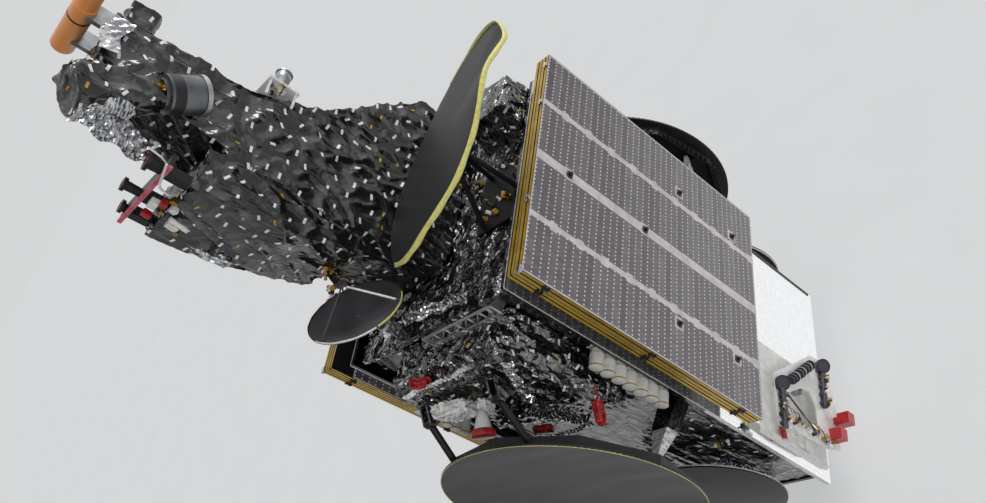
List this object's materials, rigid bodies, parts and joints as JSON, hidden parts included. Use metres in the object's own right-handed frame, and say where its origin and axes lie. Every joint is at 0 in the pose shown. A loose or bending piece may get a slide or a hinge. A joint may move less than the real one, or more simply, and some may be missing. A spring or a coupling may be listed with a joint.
{
  "type": "communications satellite",
  "caption": "Geostationary communications satellite with folded solar wings, stowed side reflectors, a black blanketed antenna tower and electric thruster pods, on its launch ring.",
  "frame": {"origin": "centre of the launch adapter ring's lower face", "axes": "+Z towards the Earth deck and antenna tower, +X north, +Y east"},
  "size_m": [2.8911, 3.63, 7.8239],
  "materials": {
    "black_blanket": "glossy",
    "mirror_radiator": "polished",
    "bare_aluminium": "satin",
    "solar_cells": "glossy",
    "graphite": "matt",
    "white_paint": "matt",
    "orange_cover": "matt",
    "dark_horn": "satin",
    "nozzle_alloy": "satin",
    "red_cover": "matt"
  },
  "bodies": {
    "bus": {"bus_body": "black_blanket", "earth_deck": "black_blanket", "aft_deck": "black_blanket", "north_radiator": "mirror_radiator", "south_radiator": "mirror_radiator", "adapter_ring": "bare_aluminium", "apogee_engine": "nozzle_alloy", "north_canisters": "white_paint", "south_canisters": "white_paint", "north_hold_downs": "bare_aluminium", "south_hold_downs": "bare_aluminium", "west_module": "black_blanket", "east_module": "black_blanket", "west_bracket": "bare_aluminium", "east_bracket": "bare_aluminium", "west_aft_bracket": "bare_aluminium", "east_aft_bracket": "bare_aluminium", "tower": "black_blanket", "west_feed_arm": "black_blanket", "west_feed_cluster": "dark_horn", "horn_arm": "black_blanket", "east_feed_horn": "dark_horn", "orange_horn": "orange_cover", "orange_cradle": "bare_aluminium", "top_unit": "black_blanket", "telemetry_horn": "white_paint", "telemetry_frame": "white_paint", "oval_reflector": "graphite", "oval_stand": "graphite", "steerable_base": "bare_aluminium", "deck_unit": "black_blanket", "release_brackets": "bare_aluminium", "west_side_horn": "white_paint", "north_pod_base": "white_paint", "south_pod_base": "white_paint", "west_truss": "bare_aluminium"},
    "north_drive": {"north_drive": "bare_aluminium"},
    "north_yoke": {"north_yoke": "graphite"},
    "north_panel_1": {"north_panel_1": "solar_cells"},
    "north_panel_2": {"north_panel_2": "solar_cells"},
    "north_panel_3": {"north_panel_3": "solar_cells"},
    "north_panel_4": {"north_panel_4": "solar_cells"},
    "north_pod_gimbal": {"north_pod_gimbal": "bare_aluminium"},
    "north_thrusters": {"north_thrusters": "dark_horn", "north_pod_covers": "red_cover"},
    "south_drive": {"south_drive": "bare_aluminium"},
    "south_yoke": {"south_yoke": "graphite"},
    "south_panel_1": {"south_panel_1": "solar_cells"},
    "south_panel_2": {"south_panel_2": "solar_cells"},
    "south_panel_3": {"south_panel_3": "solar_cells"},
    "south_panel_4": {"south_panel_4": "solar_cells"},
    "south_pod_gimbal": {"south_pod_gimbal": "bare_aluminium"},
    "south_thrusters": {"south_thrusters": "dark_horn", "south_pod_covers": "red_cover"},
    "west_reflector": {"west_reflector": "graphite"},
    "east_reflector": {"east_reflector": "graphite"},
    "west_aft_reflector": {"west_aft_reflector": "graphite"},
    "east_aft_reflector": {"east_aft_reflector": "graphite"},
    "steerable_yoke": {"steerable_yoke": "bare_aluminium"},
    "steerable_dish": {"steerable_dish": "graphite"}
  },
  "joints": [
    {"name": "north_wing_drive", "type": "hinge", "parent": "bus", "child": "north_drive", "pos_m": [1.03, 0, 3.286], "axis": [1, 0, 0], "continuous": true},
    {"name": "north_wing_root", "type": "hinge", "parent": "north_drive", "child": "north_yoke", "pos_m": [1.085, 0, 3.286], "axis": [0, 0, -1], "range_deg": [0, 90]},
    {"name": "north_fold_1", "type": "hinge", "parent": "north_yoke", "child": "north_panel_1", "pos_m": [1.1415, 1.114, 3.286], "axis": [0, 0, 1], "range_deg": [0, 180]},
    {"name": "north_fold_2", "type": "hinge", "parent": "north_panel_1", "child": "north_panel_2", "pos_m": [1.1795, -1.114, 3.286], "axis": [0, 0, -1], "range_deg": [0, 180]},
    {"name": "north_fold_3", "type": "hinge", "parent": "north_panel_2", "child": "north_panel_3", "pos_m": [1.2175, 1.114, 3.286], "axis": [0, 0, 1], "range_deg": [0, 180]},
    {"name": "north_fold_4", "type": "hinge", "parent": "north_panel_3", "child": "north_panel_4", "pos_m": [1.2555, -1.114, 3.286], "axis": [0, 0, -1], "range_deg": [0, 180]},
    {"name": "north_pod_pan", "type": "hinge", "parent": "bus", "child": "north_pod_gimbal", "pos_m": [1.05, -0.3, 0.95], "axis": [1, 0, 0], "range_deg": [-10, 10]},
    {"name": "north_pod_tilt", "type": "hinge", "parent": "north_pod_gimbal", "child": "north_thrusters", "pos_m": [1.115, -0.3, 0.95], "axis": [0, 1, 0], "range_deg": [-12, 12]},
    {"name": "south_wing_drive", "type": "hinge", "parent": "bus", "child": "south_drive", "pos_m": [-1.03, 0, 3.286], "axis": [1, 0, 0], "continuous": true},
    {"name": "south_wing_root", "type": "hinge", "parent": "south_drive", "child": "south_yoke", "pos_m": [-1.085, 0, 3.286], "axis": [0, 0, 1], "range_deg": [0, 90]},
    {"name": "south_fold_1", "type": "hinge", "parent": "south_yoke", "child": "south_panel_1", "pos_m": [-1.1415, 1.114, 3.286], "axis": [0, 0, -1], "range_deg": [0, 180]},
    {"name": "south_fold_2", "type": "hinge", "parent": "south_panel_1", "child": "south_panel_2", "pos_m": [-1.1795, -1.114, 3.286], "axis": [0, 0, 1], "range_deg": [0, 180]},
    {"name": "south_fold_3", "type": "hinge", "parent": "south_panel_2", "child": "south_panel_3", "pos_m": [-1.2175, 1.114, 3.286], "axis": [0, 0, -1], "range_deg": [0, 180]},
    {"name": "south_fold_4", "type": "hinge", "parent": "south_panel_3", "child": "south_panel_4", "pos_m": [-1.2555, -1.114, 3.286], "axis": [0, 0, 1], "range_deg": [0, 180]},
    {"name": "south_pod_pan", "type": "hinge", "parent": "bus", "child": "south_pod_gimbal", "pos_m": [-1.05, -0.3, 0.95], "axis": [1, 0, 0], "range_deg": [-10, 10]},
    {"name": "south_pod_tilt", "type": "hinge", "parent": "south_pod_gimbal", "child": "south_thrusters", "pos_m": [-1.115, -0.3, 0.95], "axis": [0, 1, 0], "range_deg": [-12, 12]},
    {"name": "west_reflector_deploy", "type": "hinge", "parent": "bus", "child": "west_reflector", "pos_m": [0.02, -1.57, 4.07], "axis": [-1, 0, 0], "range_deg": [0, 95]},
    {"name": "east_reflector_deploy", "type": "hinge", "parent": "bus", "child": "east_reflector", "pos_m": [0, 1.46, 3.75], "axis": [1, 0, 0], "range_deg": [0, 95]},
    {"name": "west_aft_reflector_deploy", "type": "hinge", "parent": "bus", "child": "west_aft_reflector", "pos_m": [0.15, -1.16, 0.3], "axis": [1, 0, 0], "range_deg": [0, 90]},
    {"name": "east_aft_reflector_deploy", "type": "hinge", "parent": "bus", "child": "east_aft_reflector", "pos_m": [0.25, 1.16, 0.3], "axis": [-1, 0, 0], "range_deg": [0, 90]},
    {"name": "steerable_azimuth", "type": "hinge", "parent": "bus", "child": "steerable_yoke", "pos_m": [-0.33, -0.96, 4.72], "axis": [0, 0, 1], "range_deg": [-12, 12]},
    {"name": "steerable_elevation", "type": "hinge", "parent": "steerable_yoke", "child": "steerable_dish", "pos_m": [-0.33, -0.96, 4.88], "axis": [1, 0, 0], "range_deg": [-12, 12]}
  ],
  "couplings": [
    {"joint": "north_fold_1", "follows": "north_wing_root", "ratio": 2},
    {"joint": "north_fold_2", "follows": "north_wing_root", "ratio": 2},
    {"joint": "north_fold_3", "follows": "north_wing_root", "ratio": 2},
    {"joint": "north_fold_4", "follows": "north_wing_root", "ratio": 2},
    {"joint": "south_fold_1", "follows": "south_wing_root", "ratio": 2},
    {"joint": "south_fold_2", "follows": "south_wing_root", "ratio": 2},
    {"joint": "south_fold_3", "follows": "south_wing_root", "ratio": 2},
    {"joint": "south_fold_4", "follows": "south_wing_root", "ratio": 2},
    {"joint": "east_aft_reflector_deploy", "follows": "east_reflector_deploy", "ratio": 0.94737}
  ]
}
